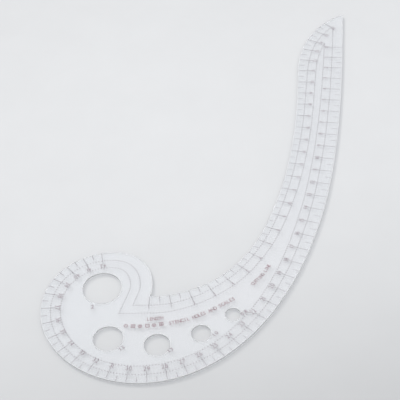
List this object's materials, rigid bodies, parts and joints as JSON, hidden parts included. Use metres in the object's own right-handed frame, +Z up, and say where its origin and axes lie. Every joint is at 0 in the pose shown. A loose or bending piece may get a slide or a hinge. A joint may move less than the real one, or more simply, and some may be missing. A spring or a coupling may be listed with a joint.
{
  "type": "french curve",
  "caption": "Flat transparent drawing curve, a long tapering blade that curls into a round head, with printed scales on both edges, two seam guide lines and round stencil holes.",
  "frame": {"origin": "middle of the sheet's box, on its underside", "axes": "+X across the sheet from the head's side to the outer edge, +Y along the blade towards the tip, +Z up out of the printed face"},
  "size_m": [0.1056, 0.305, 0.0016],
  "materials": {
    "clear_sheet": "clear cast sheet, polished faces and edges",
    "print_ink": "matt dark maroon-black screen print"
  },
  "bodies": {
    "root": {"sheet": "clear_sheet", "outer_scale_print": "print_ink", "inner_scale_print": "print_ink", "guide_line_print": "print_ink", "caption_print": "print_ink", "symbol_row_print": "print_ink", "title_print": "print_ink", "note_print": "print_ink"}
  },
  "joints": []
}
